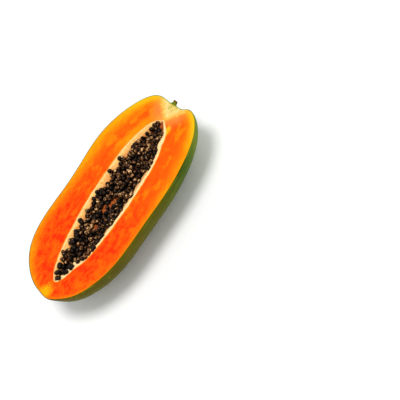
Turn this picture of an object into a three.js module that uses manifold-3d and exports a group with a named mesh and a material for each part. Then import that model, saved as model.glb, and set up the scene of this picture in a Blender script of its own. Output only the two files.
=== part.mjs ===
// Half of a papaya, cut lengthwise and lying on its skin with the cut face up and level.
// X runs from the blossom end to the stem end, Y across the fruit and Z up, in millimetres.
// Each piece is modelled round the fruit's own axis, which lies in the cut face at Z = 0,
// and the finished half is then moved to stand on Z = 0 with its box centred on the origin.

import * as THREE from 'three';
import { mergeVertices } from 'three/addons/utils/BufferGeometryUtils.js';
import Module from 'manifold-3d';

const wasm = await Module();
wasm.setup();

// Outside of the fruit. Lengths run from the widest part to each end.
const HALF_WIDTH = 63;
const BLOSSOM_LENGTH = 141.1;
const BLOSSOM_BLUNTNESS = 3.35;
const STEM_LENGTH = 140.9;
const STEM_BLUNTNESS = 3.42;
const SWELL = { height: 1.1, period: 140, crestX: 50 };
const RIB = { height: 0.6, count: 5 };
const DEPTH_TAPER = 0.03;
const SKIN_FACETS = { around: 40, along: 46 };

// How far the fruit's middle line drifts to each side, as [x, y] where it turns.
const DRIFT_TURNS = [[-143, -2], [-100, 1.5], [5, -0.9], [60, 0.4], [120, -1.6], [132, -1.2]];

// Dents of the stem end and the small point of the blossom end, as round bumps along X.
const DIMPLE = { depth: 12.8, radius: 21.6, y: -2, z: 0 };
const SIDE_DIP = { depth: 4.3, radius: 8, y: -16.5, z: -2 };
const BLOSSOM_POINT = { height: 2.4, radius: 10, y: -8, z: 0 };

// Seed cavity, pointed at both ends and about semicircular in section.
const CAVITY_HALF_WIDTH = 26.4;
const CAVITY_DEPTH = 24;
const CAVITY_Y = -3;
const CAVITY_STEM = { length: 104, bluntness: 3, power: 1 / 1.85 };
const CAVITY_BLOSSOM = { length: 121.6, bluntness: 2.2, power: 1 / 1.6 };
const CAVITY_FACETS = { around: 24, along: 32 };

// Flat spot that the ripe fruit has pressed on its underside.
const REST_DEPTH = 63;

// Bed of pulp, highest along the middle, and the seeds that stand out of it.
const SEED_GAP = 0.35;
const BED_TOP = { edge: -6, crown: -0.8 };
const BED_FACETS = { along: 12, across: 6 };
const BED_OVERHANG = 2;
const SEED_RADIUS = { least: 2.5, most: 3.1 };
const SEED_SHAPE = { long: 1.2, wide: 1.04 };
const SEED_STEP = { x: 7.2, y: 5.3, jitter: 0.8 };
const SEED_LIFT = { share: 0.05, jitter: 0.5 };
const RANDOM_SEED = 20111;

// Stub of the stalk, leaning sideways out of the dimple, as [radius, height above its root].
const STUB_ROOT = { x: 122, y: -4, z: -3.4 };
const STUB_LEAN = 0.12;
const STUB_PROFILE = [
  [0, 0], [6.6, 0], [6.6, 6], [5.3, 6.7], [3.9, 7.6],
  [3, 8.8], [2.7, 10.4], [2, 11.6], [0, 12],
];
const STUB_GAP = 0.35;
const STUB_SIDES = 16;

// Size of the blocks that stand for the knife and the table, larger than the fruit.
const BLOCK = 400;

const FLESH = { color: 0xff6a10, roughness: 0.35 };
const SEED_COAT = { color: 0x241812, roughness: 0.2 };
const STALK = { color: 0x7f9a2e, roughness: 0.7 };

// Corners closer than this are one corner.
const MERGE_DISTANCE = 1e-4;

// Repeatable random numbers from 0 to 1.
function randomSource(start) {
  let state = start >>> 0;
  return () => {
    state = (Math.imul(state, 1664525) + 1013904223) >>> 0;
    return state / 2 ** 32;
  };
}

// Closed solid from a geometry, whose corners are first merged.
function solidOf(geometry) {
  const bare = geometry.clone();
  bare.deleteAttribute('normal');
  bare.deleteAttribute('uv');
  const merged = mergeVertices(bare, MERGE_DISTANCE);
  const vertProperties = new Float32Array(merged.attributes.position.array);
  const triVerts = new Uint32Array(merged.index.array);
  return new wasm.Manifold(new wasm.Mesh({ numProp: 3, vertProperties, triVerts }));
}

// Geometry of a finished solid.
function geometryOf(solid) {
  const mesh = solid.getMesh();
  const geometry = new THREE.BufferGeometry();
  geometry.setAttribute('position', new THREE.BufferAttribute(new Float32Array(mesh.vertProperties), 3));
  geometry.setIndex(new THREE.BufferAttribute(new Uint32Array(mesh.triVerts), 1));
  geometry.computeVertexNormals();
  return geometry;
}

// Sphere with its poles on the X axis, each point of which is sent to place(u, psi):
// u is the angle from the stem end and psi the angle round the X axis, from +Y upwards.
function mappedSphere(facets, place) {
  const geometry = new THREE.SphereGeometry(1, facets.around, facets.along).rotateZ(-Math.PI / 2);
  const points = geometry.attributes.position;
  for (let i = 0; i < points.count; i += 1) {
    const u = Math.acos(THREE.MathUtils.clamp(points.getX(i), -1, 1));
    const psi = Math.atan2(points.getZ(i), points.getY(i));
    const { x, y, z } = place(u, psi);
    points.setXYZ(i, x, y, z);
  }
  return geometry;
}

function bump(dent, y, z) {
  const distance = Math.hypot(y - dent.y, z - dent.z);
  return Math.exp(-((distance / dent.radius) ** 2));
}

// Sideways place of the fruit's middle line at a station, eased from turn to turn.
function driftAt(x) {
  const last = DRIFT_TURNS.length - 1;
  if (x <= DRIFT_TURNS[0][0]) return DRIFT_TURNS[0][1];
  if (x >= DRIFT_TURNS[last][0]) return DRIFT_TURNS[last][1];
  const next = DRIFT_TURNS.findIndex(([turnX]) => turnX > x);
  const [x0, y0] = DRIFT_TURNS[next - 1];
  const [x1, y1] = DRIFT_TURNS[next];
  return THREE.MathUtils.lerp(y0, y1, THREE.MathUtils.smoothstep(x, x0, x1));
}

// Point of the skin, from its angles at the fruit's middle.
function skinPoint(u, psi) {
  const towardsStem = Math.cos(u);
  const length = towardsStem > 0 ? STEM_LENGTH : BLOSSOM_LENGTH;
  const bluntness = towardsStem > 0 ? STEM_BLUNTNESS : BLOSSOM_BLUNTNESS;
  const share = Math.sqrt(1 - Math.abs(towardsStem) ** bluntness);
  const station = length * towardsStem;
  const wave = Math.cos((2 * Math.PI * (station - SWELL.crestX)) / SWELL.period);
  const swell = SWELL.height * wave * Math.abs(Math.cos(psi));
  const rib = RIB.height * Math.sin(-RIB.count * psi);
  const radius = (HALF_WIDTH + swell + rib) * share;
  const depth = 1 - (DEPTH_TAPER * station) / BLOSSOM_LENGTH;
  const y = driftAt(station) + radius * Math.cos(psi);
  const z = depth * radius * Math.sin(psi);
  const dents = DIMPLE.depth * bump(DIMPLE, y, z) + SIDE_DIP.depth * bump(SIDE_DIP, y, z);
  const point = BLOSSOM_POINT.height * bump(BLOSSOM_POINT, y, z);
  return { x: station - (towardsStem > 0 ? dents : point), y, z };
}

// Half width of the cavity at a station, nought past its ends.
function cavityHalfWidth(x) {
  const end = x > 0 ? CAVITY_STEM : CAVITY_BLOSSOM;
  const share = Math.min(Math.abs(x) / end.length, 1);
  return CAVITY_HALF_WIDTH * (1 - share ** end.bluntness) ** end.power;
}

// Closed spindle of the cavity, made smaller all round by a gap.
function cavityGeometry(gap) {
  return mappedSphere(CAVITY_FACETS, (u, psi) => {
    const towardsStem = Math.cos(u);
    const end = towardsStem > 0 ? CAVITY_STEM : CAVITY_BLOSSOM;
    const halfWidth = cavityHalfWidth(towardsStem * end.length);
    const smaller = halfWidth * (1 - gap / CAVITY_HALF_WIDTH);
    const shorter = towardsStem * (end.length - gap * end.bluntness);
    return {
      x: shorter,
      y: CAVITY_Y + smaller * Math.cos(psi),
      z: (CAVITY_DEPTH / CAVITY_HALF_WIDTH) * smaller * Math.sin(psi),
    };
  });
}

function blockAbove(lowZ) {
  return solidOf(new THREE.BoxGeometry(BLOCK, BLOCK, BLOCK).translate(0, 0, lowZ + BLOCK / 2));
}

const wholeFruit = solidOf(mappedSphere(SKIN_FACETS, skinPoint));
const aboveTheCut = blockAbove(0);

// Flesh and skin: the lower half of the fruit, scooped out and flattened underneath.
function fruitHalf() {
  const table = blockAbove(-REST_DEPTH - BLOCK);
  return wholeFruit.subtract(aboveTheCut).subtract(solidOf(cavityGeometry(0))).subtract(table);
}

// Height of the pulp bed, an arch across the cavity.
function bedHeight(x, y) {
  const halfWidth = Math.max(cavityHalfWidth(x), 1);
  const across = THREE.MathUtils.clamp((y - CAVITY_Y) / halfWidth, -1, 1);
  return THREE.MathUtils.lerp(BED_TOP.crown, BED_TOP.edge, across ** 2);
}

// Bed of pulp: the cavity up to the arch.
function pulpBed() {
  const length = CAVITY_STEM.length + CAVITY_BLOSSOM.length;
  const width = 2 * (CAVITY_HALF_WIDTH + BED_OVERHANG);
  const height = 2 * CAVITY_DEPTH;
  const block = new THREE.BoxGeometry(length, width, height, BED_FACETS.along, BED_FACETS.across, 1);
  block.translate((CAVITY_STEM.length - CAVITY_BLOSSOM.length) / 2, CAVITY_Y, -CAVITY_DEPTH);
  const points = block.attributes.position;
  for (let i = 0; i < points.count; i += 1) {
    if (points.getZ(i) > -CAVITY_DEPTH) points.setZ(i, bedHeight(points.getX(i), points.getY(i)));
  }
  return solidOf(cavityGeometry(SEED_GAP)).intersect(solidOf(block));
}

// Whether a seed of this radius stays clear of the cavity's wall.
function fitsCavity(centre, radius) {
  const room = radius * SEED_SHAPE.long + SEED_GAP;
  return [-room, 0, room].every((step) => {
    const halfWidth = cavityHalfWidth(centre.x + step) - (step === 0 ? room : 0);
    if (halfWidth <= 0) return false;
    const depth = (CAVITY_DEPTH / CAVITY_HALF_WIDTH) * halfWidth;
    return Math.hypot((centre.y - CAVITY_Y) / halfWidth, Math.min(centre.z, 0) / depth) < 1;
  });
}

function seedGeometry(centre, radius, random) {
  const turn = new THREE.Euler(random() * Math.PI, random() * Math.PI, random() * Math.PI);
  const { long, wide } = SEED_SHAPE;
  return new THREE.IcosahedronGeometry(radius, 0)
    .scale(long, wide, wide)
    .applyMatrix4(new THREE.Matrix4().makeRotationFromEuler(turn))
    .translate(centre.x, centre.y, centre.z);
}

// Seeds in staggered rows, each moved a little from its place, on the arch of the bed.
function seedSolids() {
  const random = randomSource(RANDOM_SEED);
  const solids = [];
  const rows = Math.ceil(CAVITY_HALF_WIDTH / SEED_STEP.y);
  const columns = Math.ceil(CAVITY_BLOSSOM.length / SEED_STEP.x);
  for (let row = -rows; row <= rows; row += 1) {
    for (let column = -columns; column <= columns; column += 1) {
      const radius = THREE.MathUtils.lerp(SEED_RADIUS.least, SEED_RADIUS.most, random());
      const stagger = row % 2 === 0 ? 0 : 0.5;
      const x = (column + stagger) * SEED_STEP.x + (2 * random() - 1) * SEED_STEP.jitter;
      const y = CAVITY_Y + row * SEED_STEP.y + (2 * random() - 1) * SEED_STEP.jitter;
      const lift = SEED_LIFT.share * radius + (2 * random() - 1) * SEED_LIFT.jitter;
      const centre = { x, y, z: bedHeight(x, y) + lift };
      if (fitsCavity(centre, radius)) solids.push(solidOf(seedGeometry(centre, radius, random)));
    }
  }
  return solids;
}

function seedMass() {
  return wasm.Manifold.union([pulpBed(), ...seedSolids()]);
}

// Stub of the stalk: turned round its own line, leaned, then seated in the dimple and cut.
function stemStub() {
  const profile = STUB_PROFILE.map(([radius, height]) => new THREE.Vector2(radius, height));
  const lean = new THREE.Matrix4().makeShear(STUB_LEAN, 0, 0, 0, 0, 0);
  const turned = new THREE.LatheGeometry(profile, STUB_SIDES)
    .rotateZ(-Math.PI / 2)
    .applyMatrix4(lean)
    .translate(STUB_ROOT.x, STUB_ROOT.y, STUB_ROOT.z);
  return solidOf(turned).subtract(wholeFruit.translate(STUB_GAP, 0, 0)).subtract(aboveTheCut);
}

function piece(name, solid, finish) {
  const material = new THREE.MeshStandardMaterial({ ...finish, metalness: 0 });
  const mesh = new THREE.Mesh(geometryOf(solid), material);
  mesh.name = name;
  return mesh;
}

const papayaHalf = new THREE.Group();
papayaHalf.add(piece('fruit_half', fruitHalf(), FLESH));
papayaHalf.add(piece('seeds', seedMass(), SEED_COAT));
papayaHalf.add(piece('stem_stub', stemStub(), STALK));

const box = new THREE.Box3().setFromObject(papayaHalf);
const middle = box.getCenter(new THREE.Vector3());
papayaHalf.position.set(-middle.x, -middle.y, -box.min.z);

export default papayaHalf;
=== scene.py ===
"""Looks of half a papaya that lies on its skin with the cut face up.

Sizes of the fruit are in millimetres round its own axis, which lies in the cut face at z = 0.
Each mesh is moved to the frame and turned to metres as it is finished.
"""
import logging
import math
import random
from dataclasses import dataclass
from enum import Enum
from typing import Any

import bmesh
import bpy
from mathutils import Matrix, Vector, noise


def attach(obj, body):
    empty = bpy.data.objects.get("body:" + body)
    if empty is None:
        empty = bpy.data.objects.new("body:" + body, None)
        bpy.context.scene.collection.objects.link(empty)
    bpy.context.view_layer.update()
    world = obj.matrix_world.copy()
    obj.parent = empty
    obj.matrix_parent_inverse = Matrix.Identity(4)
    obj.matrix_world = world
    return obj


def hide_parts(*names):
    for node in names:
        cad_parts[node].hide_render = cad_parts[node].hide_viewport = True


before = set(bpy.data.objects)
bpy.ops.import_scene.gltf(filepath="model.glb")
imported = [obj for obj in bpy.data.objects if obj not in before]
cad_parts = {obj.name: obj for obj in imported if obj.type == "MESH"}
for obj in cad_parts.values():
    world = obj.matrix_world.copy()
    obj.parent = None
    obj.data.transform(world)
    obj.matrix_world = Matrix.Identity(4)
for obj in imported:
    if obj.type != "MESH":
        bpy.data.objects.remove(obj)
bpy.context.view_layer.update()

# Metres in a millimetre, and the body that every piece rides on
MM = 0.001
BODY = "root"

# Angle between faces in degrees from which an edge stays sharp
SHARP_ANGLE = 50

# Millimetres: how far one shell is lowered while two rims are bridged, and the level of the cut face
BRIDGE_DROP = 100
FACE_LEVEL = -0.01

# Distance from a cut within which the vertices of a unit sphere count as lying in its plane
CUT_DISTANCE = 1e-4

# Numbers of the Mix node's sockets for colours
MIX_SHARE = 0
MIX_FIRST = 6
MIX_SECOND = 7
MIX_RESULT = 2

Colour = tuple[float, float, float, float]
Triple = tuple[float, float, float]
Stops = list[tuple[float, Colour]]
BMesh = bmesh.types.BMesh
Verts = list[bmesh.types.BMVert]
Edges = list[bmesh.types.BMEdge]
Faces = list[bmesh.types.BMFace]

MIDDLE: Triple = (0.0, 0.0, 0.0)
EVEN: Triple = (1.0, 1.0, 1.0)

log = logging.getLogger("papaya")
logging.basicConfig(level=logging.INFO, format="%(name)s %(relativeCreated)d ms: %(message)s")


class Slot(Enum):
    """Material slots of the record."""

    FLESH = "flesh"
    SKIN = "skin"
    SEEDS = "seeds"
    PULP = "pulp"
    STALK = "stalk"


def tint(code: str) -> Colour:
    """Linear colour of a six-figure web colour.

    Args:
        code: Red, green and blue as hexadecimal pairs.

    Returns:
        The colour with an alpha of 1.
    """
    parts = [int(code[i:i + 2], 16) / 255 for i in (0, 2, 4)]
    linear = [p / 12.92 if p <= 0.04045 else ((p + 0.055) / 1.055) ** 2.4 for p in parts]
    return (linear[0], linear[1], linear[2], 1.0)


def ease(low: float, high: float, value: float) -> float:
    """Smooth step of a value from 0 at low to 1 at high."""
    share = min(max((value - low) / (high - low), 0.0), 1.0)
    return share * share * (3 - 2 * share)


def blend(start: float, end: float, share: float) -> float:
    """Value between start and end."""
    return start + (end - start) * share


def ripple(point: Vector, period: float, seed: float) -> float:
    """Smooth random value from about -1 to 1.

    Args:
        point: Place in millimetres.
        period: Size of a swell in millimetres.
        seed: Shifts the pattern.

    Returns:
        The value at the point.
    """
    return noise.noise(point / period + Vector((seed, 2 * seed, -seed)))


@dataclass(frozen=True)
class Swell:
    """Smooth random relief: its greatest height, the size of a swell, and a seed that shifts it."""

    height: float
    period: float
    seed: float

    def at(self, x: float, y: float, z: float = 0.0) -> float:
        """Height of the relief at a point."""
        return self.height * ripple(Vector((x, y, z)), self.period, self.seed)


@dataclass(frozen=True)
class Step:
    """Smooth rise from nought at the start to its height at the end."""

    height: float
    start: float
    end: float

    def at(self, x: float) -> float:
        """Height of the rise at a station."""
        return self.height * ease(self.start, self.end, x)


@dataclass(frozen=True)
class Dent:
    """Round hollow or bump of a surface or a line.

    Args:
        depth: Greatest depth.
        radius: Distance at which it has mostly faded.
        first: Middle along the line, or along the first of the surface's two directions.
        second: Middle along the second.
    """

    depth: float
    radius: float
    first: float
    second: float = 0.0

    def at(self, first: float, second: float = 0.0) -> float:
        """Depth of the dent at a point."""
        distance = math.hypot(first - self.first, second - self.second)
        return self.depth * math.exp(-((distance / self.radius) ** 2))


@dataclass(frozen=True)
class HollowEnd:
    """One end of the seed cavity.

    Args:
        length: From the widest part to the tip.
        bluntness: Exponent of the outline.
        power: Exponent of the narrowing at the tip.
    """

    length: float
    bluntness: float
    power: float


@dataclass(frozen=True)
class FruitForm:
    """Shape of the fruit, as in the part's source, and of its cavity, with a finer rim and wall."""

    half_width: float = 63.0
    blossom_length: float = 141.1
    blossom_bluntness: float = 3.35
    stem_length: float = 140.9
    stem_bluntness: float = 3.42
    swell_height: float = 1.1
    swell_period: float = 140.0
    swell_crest: float = 50.0
    rib_height: float = 0.6
    rib_count: int = 5
    relief: float = 0.3
    relief_swells: tuple[Swell, ...] = (Swell(1.0, 30.0, 3.1), Swell(0.35, 9.0, 8.4))
    depth_taper: float = 0.03
    rest_depth: float = 63.0
    drift_turns: tuple[tuple[float, float], ...] = (
        (-143, -2), (-100, 1.5), (5, -0.9), (60, 0.4), (120, -1.6), (132, -1.2),
    )
    dimple: Dent = Dent(12.8, 21.6, -2.0)
    side_dip: Dent = Dent(4.3, 8.0, -16.5, -2.0)
    blossom_point: Dent = Dent(2.4, 10.0, -8.0)
    hollow_half_width: float = 26.4
    hollow_least_width: float = 0.1
    hollow_depth: float = 24.0
    hollow_y: float = -3.0
    hollow_stem: HollowEnd = HollowEnd(104.0, 3.0, 1 / 1.85)
    hollow_blossom: HollowEnd = HollowEnd(121.6, 2.2, 1 / 1.6)
    right_pinches: tuple[Dent, ...] = (
        Dent(1.7, 180.0, 0.0), Dent(2.2, 12.0, 73.0), Dent(4.5, 8.0, 102.0), Dent(-0.8, 10.0, -74.0),
        Dent(1.8, 8.0, -101.0),
    )
    left_pinches: tuple[Dent, ...] = (Dent(1.6, 42.0, -62.0),)
    wall_curve: float = 0.92
    lumps: tuple[Dent, ...] = (
        Dent(6.0, 3.8, -93.2, -11.4), Dent(4.5, 2.8, -102.2, -10.8), Dent(5.0, 3.0, -113.0, -5.6),
        Dent(3.0, 7.0, 77.0, -20.0), Dent(2.0, 5.0, -8.0, 18.0), Dent(1.6, 5.0, 33.0, 19.0),
    )
    narrow: float = 12.0
    smooth_rim: float = 0.15
    wall_swell: Swell = Swell(0.7, 6.0, 5.7)
    wall_spread: float = 26.0
    rim_swell: Swell = Swell(0.55, 6.0, 1.3)
    rim_spread: float = 20.0
    rim_narrow: float = 10.0

    def drift_at(self, x: float) -> float:
        """Sideways place of the fruit's middle line at a station.

        Args:
            x: Station along the axis.

        Returns:
            The place across the fruit.
        """
        turns = self.drift_turns
        for (x0, y0), (x1, y1) in zip(turns, turns[1:]):
            if x <= x1:
                return blend(y0, y1, ease(x0, x1, x))
        return turns[-1][1]

    def skin_point(self, u: float, psi: float, inset: float) -> Vector:
        """Point of the skin, or of a surface inside it.

        Args:
            u: Angle from the stem end at the fruit's middle.
            psi: Angle round the axis, from +Y upwards.
            inset: Depth below the skin's outside.

        Returns:
            The point.
        """
        to_stem = math.cos(u)
        stem_half = to_stem > 0
        length = self.stem_length if stem_half else self.blossom_length
        bluntness = self.stem_bluntness if stem_half else self.blossom_bluntness
        share = math.sqrt(max(1 - abs(to_stem) ** bluntness, 0.0))
        station = length * to_stem
        wave = math.cos(2 * math.pi * (station - self.swell_crest) / self.swell_period)
        swell = self.swell_height * wave * abs(math.cos(psi))
        rib = self.rib_height * math.sin(-self.rib_count * psi)
        round_part = (station / 2, self.half_width * math.cos(psi), self.half_width * math.sin(psi))
        relief = self.relief * sum(part.at(*round_part) for part in self.relief_swells)
        radius = (self.half_width + swell + rib + relief - inset) * share
        depth = 1 - self.depth_taper * station / self.blossom_length
        y = self.drift_at(station) + radius * math.cos(psi)
        z = depth * radius * math.sin(psi)
        if stem_half:
            dents = self.dimple.at(y, z) + self.side_dip.at(y, z)
        else:
            dents = self.blossom_point.at(y, z)
        x = station - dents - inset * to_stem
        return Vector((x, y, max(z, inset - self.rest_depth)))

    def hollow_end(self, x: float) -> HollowEnd:
        """End of the cavity that a station lies in."""
        return self.hollow_stem if x > 0 else self.hollow_blossom

    def hollow_width(self, x: float) -> float:
        """Half width of the cavity at a station before it is pinched, nought past its ends."""
        end = self.hollow_end(x)
        share = min(abs(x) / end.length, 1.0)
        return self.hollow_half_width * (1 - share ** end.bluntness) ** end.power

    def depth_at(self, x: float) -> float:
        """Depth of the cavity's middle at a station."""
        return self.hollow_depth / self.hollow_half_width * self.hollow_width(x)

    def side_width(self, x: float, y: float) -> float:
        """Half width of the cavity on the side that a place lies on.

        Args:
            x: Station along the axis.
            y: Place across the fruit.

        Returns:
            The half width, less where the wall is pinched in, and never nought.
        """
        width = self.hollow_width(x)
        pinches = self.right_pinches if y < self.hollow_y else self.left_pinches
        pinched = sum(pinch.at(x) for pinch in pinches)
        return max(width - pinched * min(width / self.narrow, 1.0), self.hollow_least_width)

    def across(self, x: float, y: float) -> float:
        """Place across the cavity, from -1 at its right rim to 1 at its left rim."""
        return (y - self.hollow_y) / self.side_width(x, y)

    def wall_height(self, x: float, y: float) -> float:
        """Height of the cavity's wall, which slopes in from the rim to a rounded bottom.

        Args:
            x: Station along the axis.
            y: Place across the fruit.

        Returns:
            The height, nought at the rim and past it.
        """
        across = min(abs(self.across(x, y)), 1.0)
        wall = -self.depth_at(x) * (1 - across ** self.wall_curve) ** (1 / self.wall_curve)
        return min(wall + sum(lump.at(x, y) for lump in self.lumps), 0.0)

    def hollow_point(self, u: float, psi: float) -> Vector:
        """Point of the cavity's wall.

        Args:
            u: Angle from the stem end at the cavity's middle.
            psi: Angle round the axis, from +Y upwards.

        Returns:
            The point.
        """
        to_stem = math.cos(u)
        x = self.hollow_end(to_stem).length * to_stem
        width = self.hollow_width(x)
        sideways = math.copysign(abs(math.cos(psi)) ** (2 / self.wall_curve), math.cos(psi))
        down = abs(math.sin(psi)) ** (2 / self.wall_curve)
        inner = ease(0.0, self.smooth_rim, down) * min(width / self.narrow, 1.0)
        relief = self.wall_swell.at(x, self.wall_spread * sideways, self.wall_spread * down)
        wobble = self.rim_swell.at(x, self.rim_spread * sideways) * min(width / self.rim_narrow, 1.0)
        y = self.hollow_y + (self.side_width(x, self.hollow_y + sideways) + wobble) * sideways
        lumps = sum(lump.at(x, y) for lump in self.lumps)
        z = -self.depth_at(x) * down + relief * inner + lumps * inner
        return Vector((x, y, min(z, 0.0)))


FORM = FruitForm()

# Place of the fruit's own origin in the frame, in millimetres
SHIFT = Vector((4.58, 0.17, FORM.rest_depth))


def to_row(point: Vector) -> Vector:
    """A point of the fruit's own axes in the frame, in metres."""
    return (point + SHIFT) * MM


class Wire:
    """Shader socket that takes part in sums."""

    def __init__(self, shader: "Shader", socket: bpy.types.NodeSocket) -> None:
        """Wraps a socket.

        Args:
            shader: The material's node tree.
            socket: The output that carries the value.
        """
        self.shader = shader
        self.socket = socket

    def maths(self, operation: str, *others: Any) -> "Wire":
        """A Math node on this value.

        Args:
            operation: The node's operation.
            others: Its other values or wires.

        Returns:
            The result.
        """
        values = dict(enumerate((self, *others)))
        return self.shader.wire("ShaderNodeMath", {"operation": operation}, values)

    def __add__(self, other: Any) -> "Wire":
        """Sum."""
        return self.maths("ADD", other)

    __radd__ = __add__

    def __mul__(self, other: Any) -> "Wire":
        """Product."""
        return self.maths("MULTIPLY", other)

    __rmul__ = __mul__

    def __sub__(self, other: Any) -> "Wire":
        """Difference."""
        return self.maths("SUBTRACT", other)

    def __rsub__(self, other: Any) -> "Wire":
        """Difference from a number."""
        return (self * -1.0) + other

    def high(self, other: Any) -> "Wire":
        """The greater of two values."""
        return self.maths("MAXIMUM", other)

    def low(self, other: Any) -> "Wire":
        """The smaller of two values."""
        return self.maths("MINIMUM", other)

    def size(self) -> "Wire":
        """Value without its sign."""
        return self.maths("ABSOLUTE")

    def sway(self, strength: float) -> "Wire":
        """Pattern from 0 to 1 turned to one that swings as far up as down."""
        return (self - 0.5) * strength

    def ease(self, start: float, end: float) -> "Wire":
        """Smooth step from 0 at start to 1 at end.

        Args:
            start: Where the step begins.
            end: Where it is complete, which may lie below start.

        Returns:
            The share, from 0 to 1.
        """
        sockets = {"Value": self, "From Min": min(start, end), "From Max": max(start, end)}
        step = self.shader.wire("ShaderNodeMapRange", {"interpolation_type": "SMOOTHSTEP"}, sockets)
        return 1.0 - step if start > end else step


class Shader:
    """A material and its node tree."""

    def __init__(self, name: str) -> None:
        """Starts an empty material.

        Args:
            name: The material's name.
        """
        self.material = bpy.data.materials.new(name)
        self.material.use_nodes = True
        self.tree = self.material.node_tree
        self.tree.nodes.clear()

    def node(self, kind: str, settings: dict[str, Any], sockets: dict[Any, Any]) -> bpy.types.Node:
        """Adds a node.

        Args:
            kind: The node's type.
            settings: Properties set first; "stops" is a colour ramp's list of place and colour.
            sockets: Value or wire of each input, by name or number.

        Returns:
            The node.
        """
        made = self.tree.nodes.new(kind)
        for key, value in settings.items():
            if key == "stops":
                self.set_stops(made.color_ramp, value)
            else:
                setattr(made, key, value)
        for key, value in sockets.items():
            if isinstance(value, Wire):
                self.tree.links.new(value.socket, made.inputs[key])
            else:
                made.inputs[key].default_value = value
        return made

    @staticmethod
    def set_stops(ramp: bpy.types.ColorRamp, stops: Stops) -> None:
        """Fills a colour ramp.

        Args:
            ramp: The ramp, with its two first stops.
            stops: Place and colour of each stop, in order.
        """
        for place, _ in stops[2:]:
            ramp.elements.new(place)
        for element, (place, colour) in zip(ramp.elements, stops):
            element.position = place
            element.color = colour

    def wire(self, kind: str, settings: dict[str, Any], sockets: dict[Any, Any], out: Any = 0) -> Wire:
        """Adds a node and wraps one output.

        Args:
            kind: The node's type.
            settings: Properties set first.
            sockets: Value or wire of each input.
            out: Name or number of the output.

        Returns:
            The output.
        """
        return Wire(self, self.node(kind, settings, sockets).outputs[out])

    def place(self, centre: Triple = MIDDLE, stretch: Triple = EVEN) -> Wire:
        """Object coordinates in millimetres from a centre, divided along each axis.

        Args:
            centre: Point of the fruit's own axes that becomes the pattern's origin.
            stretch: How much longer the pattern is along X, Y and Z.

        Returns:
            The vector.
        """
        coords = self.wire("ShaderNodeTexCoord", {}, {}, "Object")
        scale = [1 / (MM * longer) for longer in stretch]
        offset = [-start * times for start, times in zip(to_row(Vector(centre)), scale)]
        return self.wire("ShaderNodeMapping", {}, {"Vector": coords, "Location": offset, "Scale": scale})

    def distance(self, centre: Triple, stretch: Triple = EVEN) -> Wire:
        """Distance in millimetres from a point.

        Args:
            centre: The point, in the fruit's own axes.
            stretch: Divisor of each axis.

        Returns:
            The distance.
        """
        spot = self.place(centre, stretch)
        return self.wire("ShaderNodeVectorMath", {"operation": "LENGTH"}, {0: spot}, "Value")

    def axis(self, vector: Wire, name: str) -> Wire:
        """One coordinate of a vector, by its letter."""
        return self.wire("ShaderNodeSeparateXYZ", {}, {"Vector": vector}, name)

    def attribute(self, name: str) -> Wire:
        """The piece's own value at each point of its mesh."""
        return self.wire("ShaderNodeAttribute", {"attribute_name": name}, {}, "Fac")

    def noise(self, vector: Wire, period: float, detail: float = 2.0, roughness: float = 0.5) -> Wire:
        """Smooth random value from 0 to 1.

        Args:
            vector: Coordinates in millimetres.
            period: Size of a swell in millimetres.
            detail: Number of finer layers.
            roughness: Strength of the finer layers.

        Returns:
            The value.
        """
        sockets = {"Vector": vector, "Scale": 1 / period, "Detail": detail, "Roughness": roughness}
        return self.wire("ShaderNodeTexNoise", {"normalize": True}, sockets, "Fac")

    def mix(self, share: Any, first: Any, second: Any) -> Wire:
        """Mixes two colours.

        Args:
            share: How much of the second, from 0 to 1.
            first: Colour or wire.
            second: Colour or wire.

        Returns:
            The colour.
        """
        sockets = {MIX_SHARE: share, MIX_FIRST: first, MIX_SECOND: second}
        return self.wire("ShaderNodeMix", {"data_type": "RGBA"}, sockets, MIX_RESULT)

    def ramp(self, value: Wire, stops: Stops) -> Wire:
        """Colour by value, through stops."""
        return self.wire("ShaderNodeValToRGB", {"stops": stops}, {"Fac": value}, "Color")

    def bump(self, height: Wire, distance: float, strength: float) -> Wire:
        """Normal of a relief.

        Args:
            height: Relief from 0 to 1.
            distance: Height of the relief in millimetres.
            strength: Share of the relief that shows.

        Returns:
            The normal.
        """
        sockets = {"Height": height, "Distance": distance * MM, "Strength": strength}
        return self.wire("ShaderNodeBump", {}, sockets, "Normal")

    def surface(self, **sockets: Any) -> bpy.types.Material:
        """Ends the tree in a Principled shader.

        Args:
            sockets: Values and wires of its inputs, with underscores for spaces.

        Returns:
            The finished material.
        """
        named = {key.replace("_", " "): value for key, value in sockets.items()}
        shade = self.wire("ShaderNodeBsdfPrincipled", {}, named, "BSDF")
        self.node("ShaderNodeOutputMaterial", {}, {"Surface": shade})
        return self.material


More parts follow.
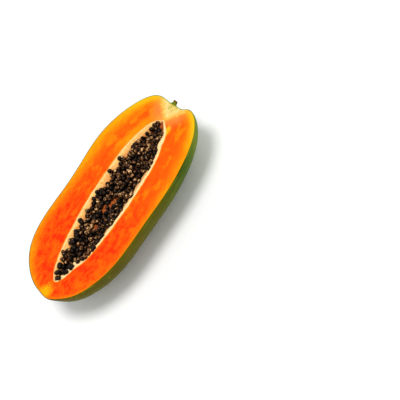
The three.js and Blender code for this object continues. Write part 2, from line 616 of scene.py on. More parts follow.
@dataclass(frozen=True)
class FleshFinish:
    """Cut flesh: yellow-orange under the skin, then orange and red-orange, with a cream lining."""

    yellow: Colour = tint("f5b410")
    rind: Colour = tint("f59a00")
    amber: Colour = tint("f57c00")
    orange: Colour = tint("f56000")
    deep: Colour = tint("f54a00")
    red: Colour = tint("f02600")
    lining: Colour = tint("fdd392")
    lining_warm: Colour = tint("ffcc78")
    lining_shade: Colour = tint("ffb060")
    lining_edge: Colour = tint("fdd8a0")
    tissue: Colour = tint("e87c30")
    stain: Colour = tint("b8501c")
    fan: Colour = tint("eed68c")
    fan_edge: Colour = tint("f8ba4c")
    peach: Colour = tint("f59c48")
    fleck: Colour = tint("b3a236")
    tip: Colour = tint("f5b400")
    stem_base: Triple = (124.0, -4.0, 0.0)
    hollow_tip: Triple = (104.0, -4.5, 0.0)
    blossom_tip: Triple = (-136.5, -0.5, 0.0)
    pale_corner: Triple = (94.0, -16.6, 0.0)
    stained_wall: Triple = (97.5, -8.0, -1.5)
    speck_size: float = 1.2
    fibre_size: float = 1.5
    streak_size: float = 1.6
    ragged_size: float = 4.0
    blotch_size: float = 5.0
    patch_size: float = 13.0
    finer: float = 0.6

    def fan_share(self, shader: Shader) -> Wire:
        """Share of the pale fibres that run from the stalk to the cavity's tip.

        Args:
            shader: The material being made.

        Returns:
            The share, from 0 to 1.
        """
        spot = shader.place(self.hollow_tip)
        along = shader.axis(spot, "X")
        across = shader.axis(spot, "Y")
        fibre = shader.noise(shader.place(self.hollow_tip, (5, 1, 5)), self.fibre_size, 3, self.finer)
        cloud = shader.noise(spot, self.blotch_size, 3, self.finer)
        reach = along.high(0.0) * 0.85 + fibre.sway(14.0) + cloud.sway(18.0)
        return (reach - across.size()).ease(-6.0, 9.0) * along.ease(-6.0, 7.0)

    def ground(self, shader: Shader, share: Wire, plain: Wire, streak: Wire, speck: Wire) -> Wire:
        """Colour of the flesh between the skin and the cavity, before its ends and lining.

        Args:
            shader: The material being made.
            share: Share of the way from the cavity to the skin.
            plain: Place in the fruit's own axes.
            streak: Fine lengthwise pattern.
            speck: Fine grain.

        Returns:
            The colour.
        """
        station = shader.axis(plain, "X")
        to_stem = station.ease(-70.0, 70.0)
        stemward = station.ease(25.0, 75.0)
        shoulder = station.ease(70.0, 115.0)
        left = shader.axis(plain, "Y").ease(-20.0, 30.0)
        grain = shader.place(stretch=(1.8, 1, 1))
        blotch = shader.noise(grain, self.blotch_size, 4, self.finer)
        patch = shader.noise(grain, self.patch_size, 3, self.finer)
        uneven = patch.sway(0.36) + blotch.sway(0.40) + streak.sway(0.18) + speck.sway(0.30)
        depth = share + uneven + to_stem * 0.19 + left * 0.12 - 0.31
        stops = [(0.0, self.deep), (0.46, self.deep), (0.58, self.orange), (0.72, self.amber)]
        ground = shader.ramp(depth, [*stops, (0.92, self.rind)])
        ground = shader.mix(share.ease(0.74, 0.98) * shoulder, ground, self.yellow)
        core = depth.ease(0.8, 0.5)
        redden = blotch.ease(0.44, 0.58) * patch.ease(0.33, 0.5) * core * (1.0 - to_stem * 0.55)
        ground = shader.mix(redden, ground, self.red)
        pale = patch.ease(0.50, 0.34) * core * (0.35 + to_stem * 0.5)
        ground = shader.mix(pale + to_stem * core * 0.2, ground, self.amber)
        by_rim = (share + blotch.sway(0.3)).ease(0.42, 0.08) * stemward * left
        return shader.mix(by_rim * 0.75, ground, self.rind)

    def lining_colour(self, shader: Shader, share: Wire, left: Wire, ragged: Wire) -> Wire:
        """Cream of the cavity's lining, warmer on its left, with peach patches and a deeper tone below
        that is partly the lining's own colour and partly painted shade.

        Args:
            shader: The material being made.
            share: Share of the way from the cavity to the skin, negative down the wall.
            left: Share of the way to the left wall.
            ragged: Pattern of the patches.

        Returns:
            The colour.
        """
        tone = shader.mix(left, self.lining, self.lining_warm)
        tone = shader.mix(ragged.ease(0.52, 0.68) * 0.5, tone, self.lining_shade)
        # Deeper peach, then orange tissue, down the wall towards the seeds: partly the lining's own
        # colour, partly painted shade
        depth = share * -1.0 + ragged.sway(0.8)
        below = depth.ease(0.05, 0.35) * (0.45 + left * 0.45)
        tone = shader.mix(below, tone, self.lining_shade)
        tone = shader.mix(share.ease(-0.10, -0.02) * 0.6, tone, self.lining_edge)
        patches = ragged.ease(0.54, 0.66) * share.ease(-0.05, -0.2) * (0.35 + left * 0.3)
        lowest = depth.ease(0.34, 0.6) * (0.3 + left * 0.4)
        tone = shader.mix(patches.high(lowest), tone, self.tissue)
        near_stain = shader.distance(self.stained_wall, (2.0, 1, 1)) + ragged.sway(4.0)
        stained = near_stain.ease(3.6, 2.2) * share.ease(-0.02, -0.08) * 0.9
        return shader.mix(stained, tone, self.stain)

    def build(self) -> bpy.types.Material:
        """Makes the material."""
        shader = Shader("cut_flesh")
        share = shader.attribute("share")
        plain = shader.place()
        streak = shader.noise(shader.place(stretch=(6, 1, 1)), self.streak_size, 3)
        speck = shader.noise(plain, self.speck_size)
        ragged = shader.noise(plain, self.ragged_size, 3, self.finer)
        left = shader.axis(plain, "Y").ease(-8.0, 2.0)
        margin = share + left * 0.045
        body = self.ground(shader, share, plain, streak, speck)
        body = shader.mix((speck - 0.5).size() * 0.6, body, self.amber)
        by_hollow = (margin + speck.sway(0.05)).ease(0.11, 0.05) * 0.75
        body = shader.mix(by_hollow, body, self.rind)
        near_tip = shader.distance(self.blossom_tip) + streak.sway(8.0) + speck.sway(16.0)
        body = shader.mix(near_tip.ease(11.5, 2.0) * 0.8, body, self.tip)
        near_corner = shader.distance(self.pale_corner, (1.7, 1, 1)) + streak.sway(5.0)
        body = shader.mix(near_corner.ease(5.5, 2.0) * 0.85, body, self.yellow)
        near_stem = shader.distance(self.stem_base, (1.1, 1, 1)) + streak.sway(14.0)
        body = shader.mix(near_stem.ease(32.0, 8.0) * 0.8, body, self.peach)
        fan = self.fan_share(shader)
        body = shader.mix(fan.ease(0.0, 0.45) * 0.8, body, self.fan_edge)
        fan_middle = (fan + speck.sway(0.8)).ease(0.40, 1.2) * 0.95
        body = shader.mix(fan_middle, body, self.fan)
        flecks = speck.sway(2.0) + ragged.sway(2.4) + near_stem.ease(15.0, 2.0)
        body = shader.mix(flecks.ease(0.65, 1.15) * 0.8, body, self.fleck)
        lined = (margin + ragged.sway(0.07)).ease(0.07, 0.035)
        body = shader.mix(lined, body, self.lining_colour(shader, share, left, ragged))
        return shader.surface(
            Base_Color=body,
            Roughness=0.5 + speck.sway(0.3),
            Normal=shader.bump(streak * 0.5 + speck * 0.5, 0.4, 0.5),
            Specular_IOR_Level=0.05,
            Subsurface_Weight=0.1,
            Subsurface_Radius=(1.0, 0.3, 0.1),
            Subsurface_Scale=0.003,
        )


@dataclass(frozen=True)
class SkinFinish:
    """Waxy green skin with a yellow-olive blush, fine streaks and pores, painted shade on its -Y side, and
    a pale bloom near the stem that is partly painted highlight.
    """

    green: Colour = tint("426205")
    dark: Colour = tint("2b4403")
    blush: Colour = tint("665003")
    pale: Colour = tint("8ca22c")
    pore: Colour = tint("9c9a3a")
    scar: Colour = tint("7a5a2a")
    blossom: Triple = (-143.2, FORM.blossom_point.first, -4.0)
    grain_size: float = 1.3
    streak_size: float = 3.2
    pore_spacing: float = 4.2
    cloud_size: float = 26.0
    patch_size: float = 40.0

    def build(self) -> bpy.types.Material:
        """Makes the material."""
        shader = Shader("papaya_skin")
        plain = shader.place()
        cloud = shader.noise(shader.place(stretch=(3.2, 1, 1)), self.cloud_size, 3)
        patch = shader.noise(plain, self.patch_size)
        streak = shader.noise(shader.place(stretch=(14, 1, 1)), self.streak_size, 3)
        grain = shader.noise(plain, self.grain_size)
        station = shader.axis(plain, "X")
        # Painted shade: olive-brown on the -Y side, most from the middle to the blossom end; the random
        # blush patches are the skin's own.
        painted_shade_side = station.ease(85.0, -10.0) * shader.axis(plain, "Y").ease(10.0, -30.0)
        stem_bloom_and_painted_highlight = station.ease(60.0, 110.0)
        tone = shader.mix(cloud.ease(0.38, 0.66) * 0.8, self.green, self.dark)
        blush_and_painted_shade = (patch.ease(0.5, 0.7) + painted_shade_side * 0.75).low(1.0) * 0.85
        tone = shader.mix(blush_and_painted_shade, tone, self.blush)
        # Paler towards the stem end: partly the skin's bloom, partly painted highlight.
        tone = shader.mix(stem_bloom_and_painted_highlight * (0.15 + cloud * 0.7), tone, self.pale)
        tone = shader.mix(streak.ease(0.52, 0.72) * 0.25, tone, self.pale)
        tone = shader.mix((grain - 0.5).size() * 0.7, tone, self.dark)
        dots = {"Vector": plain, "Scale": 1 / self.pore_spacing, "Randomness": 1.0}
        pores = shader.wire("ShaderNodeTexVoronoi", {}, dots, "Distance").ease(0.13, 0.07)
        tone = shader.mix(pores * patch.ease(0.35, 0.6) * 0.5, tone, self.pore)
        near_tip = shader.distance(self.blossom)
        tone = shader.mix(near_tip.ease(34.0, 12.0) * 0.6, tone, self.blush)
        worn = (near_tip + grain.sway(5.0)).ease(5.5, 3.0)
        tone = shader.mix(worn, tone, self.scar)
        relief = grain * 0.25 + streak * 0.35 + pores * -0.4
        return shader.surface(
            Base_Color=tone,
            Roughness=0.42 + streak.sway(0.2) + worn * 0.3,
            Normal=shader.bump(relief, 0.25, 0.6),
            Specular_IOR_Level=0.02,
        )


@dataclass(frozen=True)
class SeedFinish:
    """Black, wet, wrinkled seeds in a clear coat, with brown and beige blotches lightest on their tops:
    partly the coat's own colour, partly painted highlight.
    """

    black: Colour = tint("050302")
    umber: Colour = tint("462712")
    brown: Colour = tint("8a5a30")
    # Partly the coat's palest blotches, partly painted highlight on the seeds' tops
    beige: Colour = tint("ecc28a")
    wrinkle_size: float = 1.1
    mottle_size: float = 2.2
    cloud_size: float = 20.0
    painted_top_highlight: float = 0.14
    tone_share: float = 0.22
    cloud_share: float = 0.4
    tip_share: float = 0.08

    def build(self) -> bpy.types.Material:
        """Makes the material."""
        shader = Shader("papaya_seed")
        plain = shader.place()
        wrinkle = shader.noise(plain, self.wrinkle_size, 3, 0.6)
        mottle = shader.noise(plain, self.mottle_size, 3, 0.6)
        cloud = shader.noise(plain, self.cloud_size)
        at_tip = shader.axis(plain, "X").ease(-88.0, -104.0)
        # Painted highlight: the blotches are lifted on each seed's top by how much it faces up (crown) and
        # dimmed towards the blossom tip; the brown and beige they reach are partly the coat's own colour.
        coat_tone_and_painted_highlight = mottle + shader.attribute("crown") * self.painted_top_highlight
        coat_tone_and_painted_highlight = coat_tone_and_painted_highlight + shader.attribute("tone").sway(self.tone_share) + cloud.sway(self.cloud_share)
        coat_tone_and_painted_highlight = coat_tone_and_painted_highlight - at_tip * self.tip_share
        stops = [(0.0, self.black), (0.60, self.black), (0.68, self.umber), (0.76, self.brown)]
        return shader.surface(
            Base_Color=shader.ramp(coat_tone_and_painted_highlight, [*stops, (0.87, self.beige)]),
            Roughness=0.35 + wrinkle.sway(0.3),
            Normal=shader.bump(wrinkle, 0.8, 0.9),
            Specular_IOR_Level=0.1,
            Specular_Tint=(1.0, 0.75, 0.5, 1.0),
            Coat_Weight=0.18,
            Coat_Roughness=0.08,
            Coat_IOR=1.4,
        )


@dataclass(frozen=True)
class PulpFinish:
    """Wet pulp under the seeds: near-black between them as painted shade, orange-brown where it lies bare.
    """

    orange: Colour = tint("ae530d")
    brown: Colour = tint("6a2c0c")
    # Painted shade: near-black for the pulp where the seeds cover it
    dark: Colour = tint("170803")
    lump_size: float = 3.0
    cloud_size: float = 12.0

    def build(self) -> bpy.types.Material:
        """Makes the material."""
        shader = Shader("seed_pulp")
        plain = shader.place()
        lumps = shader.noise(plain, self.lump_size, 3)
        cloud = shader.noise(plain, self.cloud_size)
        wet = shader.mix(lumps.ease(0.4, 0.65), self.orange, self.brown)
        # Wet pulp shows at the bare places and in random patches; elsewhere the pulp is painted shade
        show = shader.attribute("bare").high(cloud.ease(0.55, 0.7) * 0.6)
        return shader.surface(
            Base_Color=shader.mix(show, self.dark, wet),
            Roughness=0.4 + lumps * 0.2,
            Normal=shader.bump(lumps, 0.8, 0.7),
            Specular_IOR_Level=0.2,
        )


@dataclass(frozen=True)
class StalkFinish:
    """Stub of the stalk: green at the foot, red-brown at the broken tip."""

    green: Colour = tint("4f6c0e")
    pale: Colour = tint("b39a22")
    brown: Colour = tint("6b3f10")
    foot: Triple = (127.0, -4.0, -3.0)
    fibre_size: float = 1.0

    def build(self) -> bpy.types.Material:
        """Makes the material."""
        shader = Shader("stalk_stub")
        up = shader.axis(shader.place(self.foot), "X")
        fibre = shader.noise(shader.place(self.foot, (5, 1, 1)), self.fibre_size, 3)
        colour = shader.mix(fibre.ease(0.45, 0.7), self.green, self.pale)
        colour = shader.mix((up + fibre.sway(4.0)).ease(3.6, 5.6), colour, self.brown)
        return shader.surface(
            Base_Color=colour,
            Roughness=0.6 + fibre.sway(0.2),
            Normal=shader.bump(fibre, 0.4, 0.8),
            Specular_IOR_Level=0.05,
        )


def lying_sphere(bm: BMesh, around: int, along: int) -> Verts:
    """Adds a unit sphere with its poles on the X axis.

    Args:
        bm: The mesh being made.
        around: Steps of half its girth.
        along: Steps from pole to pole.

    Returns:
        Its vertices.
    """
    made = bmesh.ops.create_uvsphere(bm, u_segments=2 * around, v_segments=along, radius=1.0)
    turn = Matrix.Rotation(math.radians(90), 3, "Y")
    bmesh.ops.rotate(bm, verts=made["verts"], cent=MIDDLE, matrix=turn)
    return made["verts"]


def half_sphere(bm: BMesh, around: int, along: int) -> Verts:
    """Adds the lower half of such a sphere.

    Args:
        bm: The mesh being made.
        around: Steps of the half circle.
        along: Steps from pole to pole.

    Returns:
        Its vertices.
    """
    verts = lying_sphere(bm, around, along)
    sphere = set(verts)
    edges = [edge for edge in bm.edges if edge.verts[0] in sphere]
    faces = [face for face in bm.faces if face.verts[0] in sphere]
    bmesh.ops.bisect_plane(
        bm, geom=[*verts, *edges, *faces], dist=CUT_DISTANCE, plane_co=MIDDLE, plane_no=(0, 0, 1),
        clear_outer=True,
    )
    return [vert for vert in verts if vert.is_valid]


def sphere_angles(point: Vector) -> tuple[float, float]:
    """Angle from the stem pole and angle round the X axis of a point of the unit sphere."""
    u = math.acos(min(max(point.x, -1.0), 1.0))
    return u, math.atan2(min(point.z, 0.0), point.y)


def rim_of(bm: BMesh, verts: Verts) -> Edges:
    """Open edges of a shell, in the mesh's own order.

    Args:
        bm: The mesh.
        verts: The shell's vertices.

    Returns:
        The edges that have one face.
    """
    shell = set(verts)
    return [edge for edge in bm.edges if edge.is_boundary and edge.verts[0] in shell]


def join_rims(bm: BMesh, first: Verts, second: Verts) -> Faces:
    """Bridges the rims of two shells that lie in one plane, with the second lowered meanwhile.

    Args:
        bm: The mesh.
        first: Vertices of one shell.
        second: Vertices of the other.

    Returns:
        The faces between the rims.
    """
    bmesh.ops.translate(bm, verts=second, vec=(0, 0, -BRIDGE_DROP))
    bridge = bmesh.ops.bridge_loops(bm, edges=rim_of(bm, first) + rim_of(bm, second))
    bmesh.ops.translate(bm, verts=second, vec=(0, 0, BRIDGE_DROP))
    return bridge["faces"]


def mesh_of(bm: BMesh, name: str) -> bpy.types.Mesh:
    """Turns a bmesh to a mesh and frees it.

    Args:
        bm: The bmesh.
        name: The mesh's name.

    Returns:
        The mesh.
    """
    mesh = bpy.data.meshes.new(name)
    bm.to_mesh(mesh)
    bm.free()
    return mesh


def add_object(name: str, data: Any) -> bpy.types.Object:
    """Adds an object to the scene.

    Args:
        name: Its name.
        data: Its mesh, lamp or camera.

    Returns:
        The object.
    """
    made = bpy.data.objects.new(name, data)
    bpy.context.scene.collection.objects.link(made)
    return made


def finish_piece(bm: BMesh, name: str, material: bpy.types.Material) -> bpy.types.Object:
    """Turns a finished mesh to an object that rides on the body.

    Args:
        bm: The mesh, in millimetres round the fruit's own axis.
        name: The piece's name.
        material: Its finish.

    Returns:
        The object.
    """
    for vert in bm.verts:
        vert.co = to_row(vert.co)
    bmesh.ops.recalc_face_normals(bm, faces=bm.faces[:])
    mesh = mesh_of(bm, name)
    mesh.shade_smooth()
    mesh.set_sharp_from_angle(angle=math.radians(SHARP_ANGLE))
    mesh.materials.append(material)
    piece = add_object(name, mesh)
    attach(piece, BODY)
    log.info("%s: %d faces", name, len(mesh.polygons))
    return piece


@dataclass
class FruitBody:
    """Flesh and skin of the half."""

    skin_thickness: float = 0.9
    seam_overlap: float = 0.05
    around: int = 72
    along: int = 180
    face_rings: int = 26
    hollow_around: int = 48
    wall_scale: float = 10.0
    knife_marks: Swell = Swell(0.12, 5.0, 2.2)
    knife_stretch: float = 0.3
    knife_fade: float = 0.1
    rounding: float = 0.7
    rounding_share: float = 0.03

    def shell(self, bm: BMesh, inset: float) -> Verts:
        """Adds a half shell at a depth below the skin's outside.

        Args:
            bm: The mesh being made.
            inset: The depth.

        Returns:
            The shell's vertices.
        """
        verts = half_sphere(bm, self.around, self.along)
        for vert in verts:
            vert.co = FORM.skin_point(*sphere_angles(vert.co), inset)
        return verts

    def build_skin(self) -> bpy.types.Object:
        """Makes the skin, a thin closed shell whose rim shows at the cut face."""
        bm = bmesh.new()
        outside = self.shell(bm, 0.0)
        inside = self.shell(bm, self.skin_thickness)
        join_rims(bm, outside, inside)
        for vert in bm.verts:
            vert.co.z = min(vert.co.z, -self.seam_overlap)
        return finish_piece(bm, "papaya_skin", SkinFinish().build())

    def build_flesh(self) -> bpy.types.Object:
        """Makes the flesh: its outside under the skin, the cut face and the cavity's wall."""
        bm = bmesh.new()
        share = bm.verts.layers.float.new("share")
        outside = self.shell(bm, self.skin_thickness - self.seam_overlap)
        for vert in outside:
            vert[share] = 1.0
        wall = half_sphere(bm, self.hollow_around, self.along)
        for vert in wall:
            vert.co = FORM.hollow_point(*sphere_angles(vert.co))
            vert[share] = min(vert.co.z, 0.0) / self.wall_scale
        spokes = self.spokes(bm, join_rims(bm, outside, wall))
        bmesh.ops.subdivide_edges(bm, edges=spokes, cuts=self.face_rings, use_grid_fill=True)
        for vert in bm.verts:
            if 0.0 <= vert[share] < 1.0 and vert.co.z > FACE_LEVEL:
                vert.co.z += self.face_relief(vert.co, vert[share])
        return finish_piece(bm, "papaya_flesh", FleshFinish().build())

    @staticmethod
    def spokes(bm: BMesh, faces: Faces) -> Edges:
        """Edges of the bridge that run from the skin to the cavity.

        Args:
            bm: The mesh.
            faces: The bridge's faces.

        Returns:
            The edges that lie between two of these faces.
        """
        bridge = set(faces)
        return [edge for edge in bm.edges if all(face in bridge for face in edge.link_faces)]

    def face_relief(self, point: Vector, share: float) -> float:
        """Height of the cut face: knife marks, and the cavity's edge, which rounds down.

        Args:
            point: Place on the face.
            share: Share of the way from the cavity to the skin.

        Returns:
            The height to add.
        """
        marks = self.knife_marks.at(point.x, point.y * self.knife_stretch)
        near_hollow = math.exp(-share / self.rounding_share)
        return marks * ease(0.0, self.knife_fade, 1 - share) - self.rounding * near_hollow

    def build(self) -> None:
        """Makes both pieces, which together stand for the CAD half."""
        flesh = self.build_flesh()
        self.build_skin()
        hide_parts("fruit_half")


@dataclass(frozen=True)
class Gap:
    """Place where seeds have fallen out.

    Args:
        x: Station along the axis.
        y: Place across the fruit.
        long: Half length along the fruit.
        wide: Half width across it.
        bare_from: Distance up to which the pulp lies bare.
        bare_to: Distance from which it is covered.
    """

    x: float
    y: float
    long: float
    wide: float
    bare_from: float = 0.8
    bare_to: float = 1.6

    def away(self, x: float, y: float, berth: float) -> float:
        """Distance from the gap's middle, 1 at its edge widened by the berth."""
        return math.hypot((x - self.x) / (self.long + berth), (y - self.y) / (self.wide + berth))

    def nearness(self, x: float, y: float, berth: float) -> float:
        """Share of bare pulp at a place, 1 in the gap's middle."""
        return 1 - ease(self.bare_from, self.bare_to, self.away(x, y, berth))


@dataclass
class SeedBed:
    """Pulp bed and the seeds on it."""

    seed: int = 11
    tries: int = 26000
    radii: tuple[float, float] = (2.4, 3.2)
    lifts: tuple[float, float] = (-1.4, 1.2)
    spacing: float = 4.9
    under_drop: float = 3.6
    tip_berth: float = 0.6
    side_berth: float = 0.8
    rim_berth: float = 0.5
    wall_berth: float = 0.5
    crown: float = -1.4
    edge: float = -6.0
    bed_swell: Swell = Swell(1.3, 15.0, 4.4)
    fine_swell: Swell = Swell(0.08, 5.0, 2.6)
    fine_y: float = 80.0
    left_reach: float = 0.71
    left_rise: Step = Step(0.07, -74.0, -88.0)
    left_fall: Step = Step(1.0, -114.0, -104.0)
    left_clumps: tuple[float, ...] = (
        64.0, 42.0, 21.0, -6.0, -18.0, -31.0, -48.0, -60.0, -74.0, -90.0, -114.0,
    )
    clump_rise: float = 0.20
    clump_length: float = 3.4
    right_reach: float = 0.93
    right_rise: Step = Step(0.07, -35.0, -60.0)
    right_notches: tuple[Dent, ...] = (
        Dent(0.34, 7.0, 78.0), Dent(0.30, 5.4, 31.5), Dent(0.32, 4.6, 18.0), Dent(0.27, 4.8, -6.5),
        Dent(0.28, 4.6, -42.0), Dent(0.42, 2.8, -93.4), Dent(0.34, 2.0, -102.4),
    )
    bare_spots: tuple[Gap, ...] = (
        Gap(-10.5, -7.5, 4.6, 2.4), Gap(-20.0, -3.0, 3.8, 1.6), Gap(100.6, -4.8, 3.2, 2.6),
        Gap(94.5, -10.2, 3.0, 1.2), Gap(-46.0, -6.0, 2.0, 1.0), Gap(-75.0, -16.0, 1.2, 0.8),
    )
    clefts: tuple[Gap, ...] = (
        Gap(-93.2, -11.4, 1.6, 2.4), Gap(-102.4, -11.2, 0.6, 1.2), Gap(-113.0, -5.6, 1.4, 1.2),
    )
    berth: float = 2.2
    seed_sides: int = 9
    seed_rings: int = 6
    seed_lengths: tuple[float, float] = (1.02, 1.28)
    wrinkle: float = 0.16
    wrinkle_scale: float = 3.0
    wrinkle_period: float = 1.6
    wrinkle_shift: float = 40.0
    egg: float = 0.12
    pulp_around: int = 48
    pulp_along: int = 180
    pulp_drop: float = 3.4
    bare_drop: float = 1.6
    pulp_bumps: Swell = Swell(0.6, 3.5, 7.7)
    wall_overlap: float = 0.3

    def surface(self, x: float, y: float) -> float:
        """Height of the seeds' middles, an arch across the cavity with its swells."""
        across = FORM.across(x, y)
        return blend(self.crown, self.edge, min(across * across, 1.0)) + self.bed_swell.at(x, y)

    def reach(self, x: float, left: bool) -> float:
        """How far towards the rim the seeds climb, in clumps on the left and with notches on the right.

        Args:
            x: Station along the axis.
            left: Whether it is the wall on the +Y side.

        Returns:
            The share of the cavity's half width.
        """
        fine = self.fine_swell.at(x, self.fine_y if left else -self.fine_y)
        if left:
            clumps = sum(math.exp(-(((x - place) / self.clump_length) ** 2)) for place in self.left_clumps)
            rise = self.left_rise.at(x) * self.left_fall.at(x)
            return self.left_reach + self.clump_rise * min(clumps, 1.0) + rise + fine
        notches = sum(notch.at(x) for notch in self.right_notches)
        return self.right_reach + self.right_rise.at(x) + fine - notches

    def fits(self, x: float, y: float, radius: float) -> bool:
        """Whether a seed may lie at a place.

        Args:
            x: Station along the axis.
            y: Place across the fruit.
            radius: The seed's radius.

        Returns:
            True if it stays in the cavity and out of the gaps.
        """
        ahead = x + math.copysign(self.tip_berth * radius, x)
        if FORM.hollow_width(ahead) < self.side_berth * radius:
            return False
        if any(gap.away(x, y, self.berth) < 1 for gap in self.bare_spots + self.clefts):
            return False
        across = FORM.across(x, y)
        return abs(across) < self.reach(x, across > 0) - self.rim_berth * radius / FORM.side_width(x, y)

    def scatter(self, drop: float, draw: random.Random) -> list[tuple[Vector, float]]:
        """Throws seeds on the bed and the wall, none closer to another than the spacing.

        Args:
            drop: Depth of this layer below the bed's surface.
            draw: Source of random numbers.

        Returns:
            Middle and radius of each seed.
        """
        layer: list[tuple[Vector, float]] = []
        cells: dict[tuple[int, int], list[Vector]] = {}
        around = [(i, j) for i in (-1, 0, 1) for j in (-1, 0, 1)]
        for _ in range(self.tries):
            x = draw.uniform(-FORM.hollow_blossom.length, FORM.hollow_stem.length)
            y = FORM.hollow_y + draw.uniform(-1, 1) * FORM.hollow_half_width
            radius = draw.uniform(*self.radii)
            lift = draw.uniform(*self.lifts)
            if not self.fits(x, y, radius):
                continue
            on_wall = FORM.wall_height(x, y) + self.wall_berth * radius
            point = Vector((x, y, max(self.surface(x, y) - drop + lift, on_wall)))
            column = int(x // self.spacing)
            row = int(y // self.spacing)
            near = [other for i, j in around for other in cells.get((column + i, row + j), ())]
            if any((other - point).length < self.spacing for other in near):
                continue
            cells.setdefault((column, row), []).append(point)
            layer.append((point, radius))
        return layer

    def seed_mesh(self, point: Vector, radius: float, draw: random.Random) -> bpy.types.Mesh:
        """Makes one egg-shaped, slightly wrinkled seed.

        Args:
            point: Its middle.
            radius: Its radius.
            draw: Source of random numbers.

        Returns:
            Its mesh, with its own shade in the attribute tone and how much it faces up in crown, which
            paints highlight on its top.
        """
        bm = bmesh.new()
        tone = bm.verts.layers.float.new("tone")
        crown = bm.verts.layers.float.new("crown")
        bmesh.ops.create_uvsphere(bm, u_segments=self.seed_sides, v_segments=self.seed_rings, radius=1.0)
        long = draw.uniform(*self.seed_lengths)
        heading = Matrix.Rotation(draw.uniform(0, math.tau), 3, "Z")
        turn = heading @ Matrix.Rotation(draw.uniform(0, math.pi), 3, "X")
        shade = draw.random()
        for vert in bm.verts:
            folds = ripple(vert.co * self.wrinkle_scale, self.wrinkle_period, shade * self.wrinkle_shift)
            egg = 1 - self.egg * vert.co.z
            shape = Vector((vert.co.x * egg, vert.co.y * egg, vert.co.z * long))
            outward = turn @ (shape * (1 + self.wrinkle * folds))
            vert.co = point + outward * radius
            vert[tone] = shade
            # How much the point faces up, used to paint highlight on the seed's top
            vert[crown] = outward.z
        return mesh_of(bm, "one_seed")

    def build_seeds(self) -> bpy.types.Object:
        """Makes the seeds, in an upper and a lower layer."""
        draw = random.Random(self.seed)
        upper = self.scatter(0.0, draw)
        lower = self.scatter(self.under_drop, draw)
        bm = bmesh.new()
        for point, radius in upper + lower:
            mesh = self.seed_mesh(point, radius, draw)
            bm.from_mesh(mesh)
            bpy.data.meshes.remove(mesh)
        log.info("seeds: %d above, %d below", len(upper), len(lower))
        return finish_piece(bm, "papaya_seeds", SeedFinish().build())

    def build_pulp(self) -> bpy.types.Object:
        """Makes the pulp under the seeds, a lens between the bed and the cavity's wall."""
        bm = bmesh.new()
        bare = bm.verts.layers.float.new("bare")
        for vert in lying_sphere(bm, self.pulp_around, self.pulp_along):
            upper = vert.co.z > 0
            u, psi = sphere_angles(Vector((vert.co.x, vert.co.y, -abs(vert.co.z))))
            point = FORM.hollow_point(u, psi)
            naked = max(gap.nearness(point.x, point.y, self.berth) for gap in self.bare_spots)
            drop = blend(self.pulp_drop, self.bare_drop, naked)
            top = self.surface(point.x, point.y) - drop + self.pulp_bumps.at(point.x, point.y)
            point.z = top if upper else min(point.z - self.wall_overlap, top)
            vert.co = point
            vert[bare] = naked
        return finish_piece(bm, "seed_pulp", PulpFinish().build())

    def build(self) -> None:
        """Makes the seeds and their pulp."""
        seeds = self.build_seeds()
        self.build_pulp()
        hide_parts("seeds")


@dataclass
class StalkStub:
    """Stub of the stalk in the dimple."""

    root: Triple = (122.0, -2.4, -3.2)
    lean: float = 0.12
    profile: tuple[tuple[float, float], ...] = (
        (4.0, 3.0), (6.0, 5.4), (5.6, 6.1), (4.2, 6.6), (3.2, 7.4), (2.7, 8.6), (2.6, 10.2), (2.7, 11.2),
        (2.0, 11.8), (1.0, 11.4),
    )
    sides: int = 28
    ridge_height: float = 0.07
    ridge_count: int = 5
    ridge_turn: float = 0.4
    bark: Swell = Swell(0.10, 1.6, 3.3)
    torn: Swell = Swell(0.5, 1.5, 9.1)
    torn_from: float = 9.0
    torn_to: float = 12.0

    def build(self) -> None:
        """Turns the profile round the stub's line and roughens it."""
        bm = bmesh.new()
        outline = [bm.verts.new((height, radius, 0.0)) for radius, height in self.profile]
        edges = [bm.edges.new(pair) for pair in zip(outline, outline[1:])]
        bmesh.ops.spin(
            bm, geom=outline + edges, cent=MIDDLE, axis=(1, 0, 0), angle=math.tau, steps=self.sides,
            use_merge=True,
        )
        bmesh.ops.holes_fill(bm, edges=[edge for edge in bm.edges if edge.is_boundary])
        bmesh.ops.subdivide_edges(bm, edges=bm.edges[:], cuts=1, use_grid_fill=True)
        for vert in bm.verts:
            height = vert.co.x
            ridges = math.cos(self.ridge_count * math.atan2(vert.co.z, vert.co.y) + self.ridge_turn)
            groove = 1 + self.ridge_height * ridges + self.bark.at(*vert.co)
            vert.co.y *= groove
            vert.co.z *= groove
            ragged = self.torn.at(0.0, vert.co.y, vert.co.z)
            vert.co.x += ragged * ease(self.torn_from, self.torn_to, height)
            vert.co.y += self.lean * height
            vert.co += Vector(self.root)
            vert.co.z = min(vert.co.z, 0.0)
        stub = finish_piece(bm, "stalk_stub", StalkFinish().build())
        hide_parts("stem_stub")


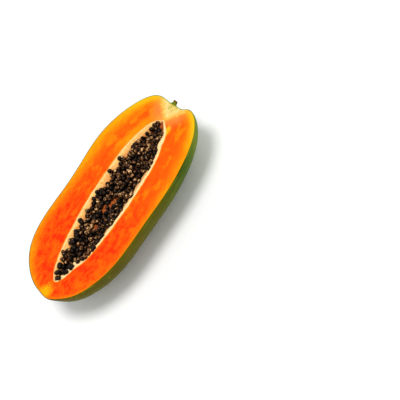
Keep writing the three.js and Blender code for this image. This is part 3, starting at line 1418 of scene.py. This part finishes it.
@dataclass
class Studio:
    """Pale floor, soft light and the camera, whose distance and aim are in millimetres."""

    lens: float = 85.0
    sensor: float = 36.0
    clip_end: float = 50.0
    tilt: float = math.radians(30.6)
    swing: float = math.radians(14.01)
    roll: float = math.radians(32.953)
    distance: float = 1093.5
    aim_right: float = -101.77
    aim_up: float = 9.595
    floor_size: float = 12.0
    floor_colour: Colour = tint("fafafa")
    floor_roughness: float = 0.9
    sky: float = 0.72
    sky_colour: Colour = (1.0, 1.0, 1.0, 1.0)
    key_power: float = 12.2
    key_size: float = 0.5
    key_distance: float = 1.5
    key_side: float = 0.38

    def camera_axes(self) -> tuple[Vector, Vector, Vector]:
        """Directions to the picture's right, to its top and back to the camera."""
        back = Vector((
            -math.sin(self.swing) * math.cos(self.tilt),
            -math.sin(self.tilt),
            math.cos(self.tilt) * math.cos(self.swing),
        )).normalized()
        stem = Vector((1, 0, 0))
        upright = (stem - back * stem.dot(back)).normalized()
        side = upright.cross(back)
        right = side * math.cos(self.roll) + upright * math.sin(self.roll)
        up = upright * math.cos(self.roll) - side * math.sin(self.roll)
        return right, up, back

    def build_camera(self) -> None:
        """Sets the camera at the photograph's viewing angle."""
        right, up, back = self.camera_axes()
        place = to_row(back * self.distance - right * self.aim_right - up * self.aim_up)
        lens = bpy.data.cameras.new("camera")
        lens.lens = self.lens
        lens.sensor_width = self.sensor
        lens.clip_end = self.clip_end
        camera = add_object("camera", lens)
        turn = Matrix((right, up, back)).transposed()
        camera.matrix_world = Matrix.Translation(place) @ turn.to_4x4()
        bpy.context.scene.camera = camera

    def build_floor(self) -> None:
        """Lays a matt, nearly white floor under the half."""
        bm = bmesh.new()
        bmesh.ops.create_grid(bm, x_segments=1, y_segments=1, size=self.floor_size / 2)
        mesh = mesh_of(bm, "floor")
        finish = Shader("floor").surface(Base_Color=self.floor_colour, Roughness=self.floor_roughness)
        mesh.materials.append(finish)
        floor = add_object("floor", mesh)

    def build_light(self) -> None:
        """Lights the half from the picture's upper left, with a soft white sky."""
        right, up, back = self.camera_axes()
        world = bpy.data.worlds.new("sky")
        world.use_nodes = True
        background = world.node_tree.nodes["Background"]
        background.inputs["Color"].default_value = self.sky_colour
        background.inputs["Strength"].default_value = self.sky
        bpy.context.scene.world = world
        towards = (back + self.key_side * (up - right)).normalized()
        lamp = bpy.data.lights.new("key", "AREA")
        lamp.shape = "DISK"
        lamp.size = self.key_size
        lamp.energy = self.key_power
        key = add_object("key", lamp)
        key.location = towards * self.key_distance
        key.rotation_euler = towards.to_track_quat("Z", "Y").to_euler()

    def build(self) -> None:
        """Builds the whole set."""
        self.build_camera()
        self.build_floor()
        self.build_light()
        bpy.context.scene.view_settings.view_transform = "Standard"


def main() -> None:
    """Builds the half, then the studio."""
    FruitBody().build()
    SeedBed().build()
    StalkStub().build()
    Studio().build()


if __name__ == "__main__":
    main()
